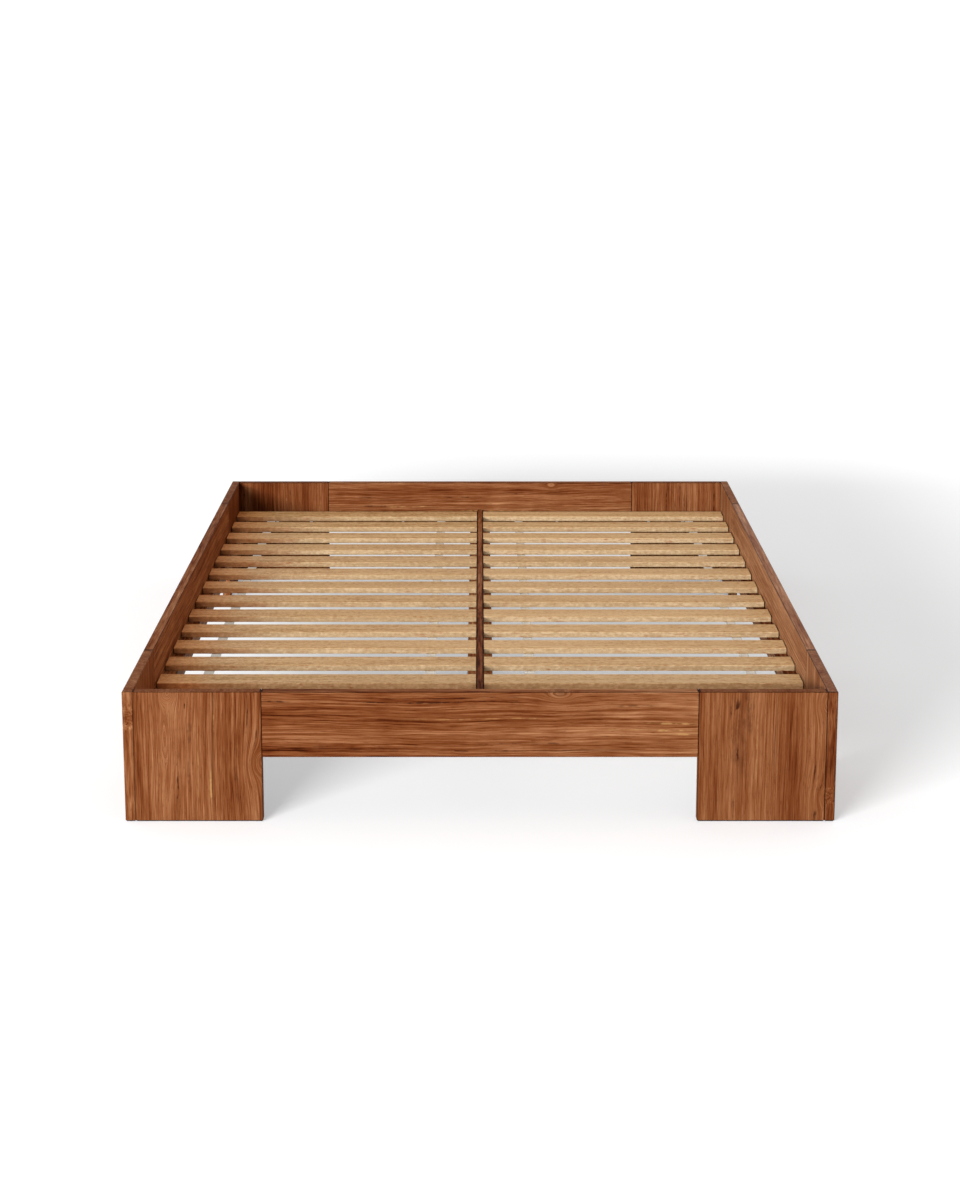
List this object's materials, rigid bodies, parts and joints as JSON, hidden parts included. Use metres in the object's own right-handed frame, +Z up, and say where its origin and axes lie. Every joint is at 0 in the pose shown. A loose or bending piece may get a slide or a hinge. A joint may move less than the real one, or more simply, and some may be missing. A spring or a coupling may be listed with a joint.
{
  "type": "bed frame",
  "caption": "Low wooden platform bed frame with wide corner leg panels, a recessed bed of loose slats on straps, and a centre beam.",
  "frame": {"origin": "on the floor under the middle of the bed", "axes": "+Z up; +Y towards the head end; +X towards the right seen from the foot end, which is the end the picture looks at"},
  "size_m": [1.586, 2.094, 0.303],
  "materials": {
    "walnut": "satin",
    "inner_wood": "satin",
    "slat_wood": "satin",
    "dowel_wood": "matte",
    "webbing": "matte",
    "felt": "matte",
    "steel": "zinc plated"
  },
  "bodies": {
    "frame": {"centre_beam": "inner_wood", "centre_ledge_left": "inner_wood", "centre_ledge_right": "inner_wood", "centre_leg": "inner_wood", "cleat_foot": "inner_wood", "cleat_head": "inner_wood", "felt_pads": "felt", "joint_dowels": "dowel_wood", "ledge_left": "inner_wood", "ledge_right": "inner_wood", "ledge_screws": "steel", "leg_end_foot_left": "walnut", "leg_end_foot_right": "walnut", "leg_end_head_left": "walnut", "leg_end_head_right": "walnut", "leg_side_foot_left": "walnut", "leg_side_foot_right": "walnut", "leg_side_head_left": "walnut", "leg_side_head_right": "walnut", "rail_foot": "walnut", "rail_head": "walnut", "rail_left": "walnut", "rail_right": "walnut"},
    "slat_mat_left": {"slat_left_01": "slat_wood", "slat_left_02": "slat_wood", "slat_left_03": "slat_wood", "slat_left_04": "slat_wood", "slat_left_05": "slat_wood", "slat_left_06": "slat_wood", "slat_left_07": "slat_wood", "slat_left_08": "slat_wood", "slat_left_09": "slat_wood", "slat_left_10": "slat_wood", "slat_left_11": "slat_wood", "slat_left_12": "slat_wood", "slat_left_13": "slat_wood", "slat_left_14": "slat_wood", "slat_left_15": "slat_wood", "staples_left": "steel", "strap_left_inner": "webbing", "strap_left_outer": "webbing"},
    "slat_mat_right": {"slat_right_01": "slat_wood", "slat_right_02": "slat_wood", "slat_right_03": "slat_wood", "slat_right_04": "slat_wood", "slat_right_05": "slat_wood", "slat_right_06": "slat_wood", "slat_right_07": "slat_wood", "slat_right_08": "slat_wood", "slat_right_09": "slat_wood", "slat_right_10": "slat_wood", "slat_right_11": "slat_wood", "slat_right_12": "slat_wood", "slat_right_13": "slat_wood", "slat_right_14": "slat_wood", "slat_right_15": "slat_wood", "staples_right": "steel", "strap_right_inner": "webbing", "strap_right_outer": "webbing"}
  },
  "joints": [
    {"name": "lift_out_left_mat", "type": "slide", "parent": "frame", "child": "slat_mat_left", "axis": [0, 0, 1], "range_m": [0, 0.15]},
    {"name": "lift_out_right_mat", "type": "slide", "parent": "frame", "child": "slat_mat_right", "axis": [0, 0, 1], "range_m": [0, 0.15]}
  ]
}
